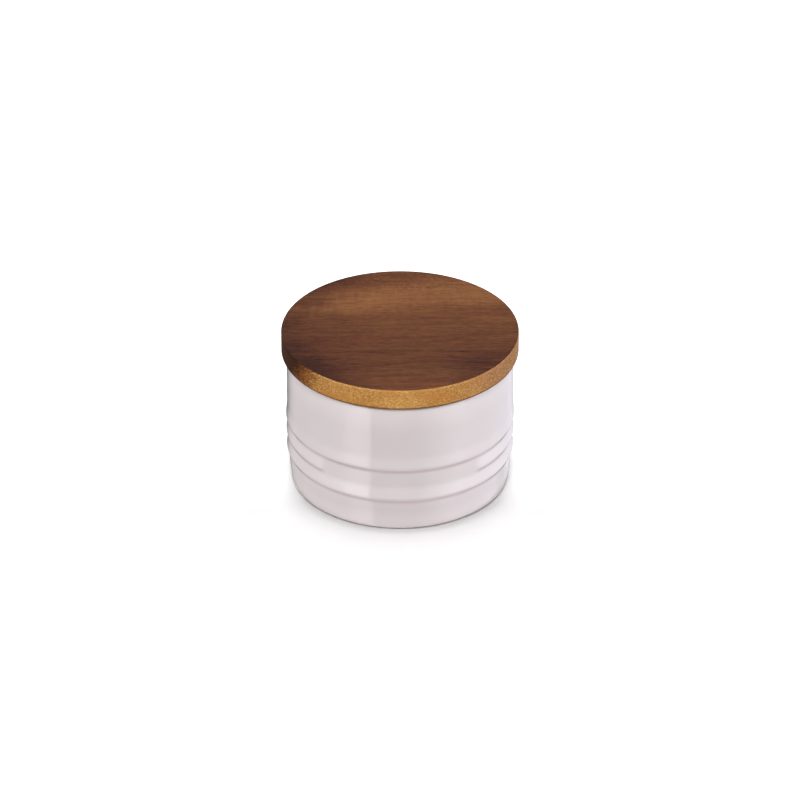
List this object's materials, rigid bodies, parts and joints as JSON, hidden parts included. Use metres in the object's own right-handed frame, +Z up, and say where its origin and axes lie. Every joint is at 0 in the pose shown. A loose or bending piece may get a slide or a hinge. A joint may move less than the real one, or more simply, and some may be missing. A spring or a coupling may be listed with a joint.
{
  "type": "salt jar with lift-off lid",
  "caption": "Round glazed stoneware salt jar with soft raised rings round its lower half, and a flat wooden lid that lifts off, centred by a sealed plug.",
  "frame": {"origin": "centre of the foot, on the surface that the jar stands on", "axes": "+Z up along the jar's axis; the front, with the bare panel in the middle ring, faces -Y; +X is to the right seen from the front"},
  "size_m": [0.105, 0.105, 0.0745],
  "materials": {
    "glaze": "glossy pale pink glaze, bare stoneware under the foot",
    "acacia": "oiled acacia, dark on its face and golden on its edge",
    "acacia_plug": "oiled acacia, lighter wood than the board",
    "silicone": "translucent white silicone, satin"
  },
  "bodies": {
    "jar": {"jar": "glaze"},
    "lid": {"lid_board": "acacia", "lid_plug": "acacia_plug", "lid_seal": "silicone"}
  },
  "joints": [
    {"name": "lid_lift", "type": "slide", "parent": "jar", "child": "lid", "axis": [0, 0, 1], "range_m": [0, 0.1]}
  ]
}
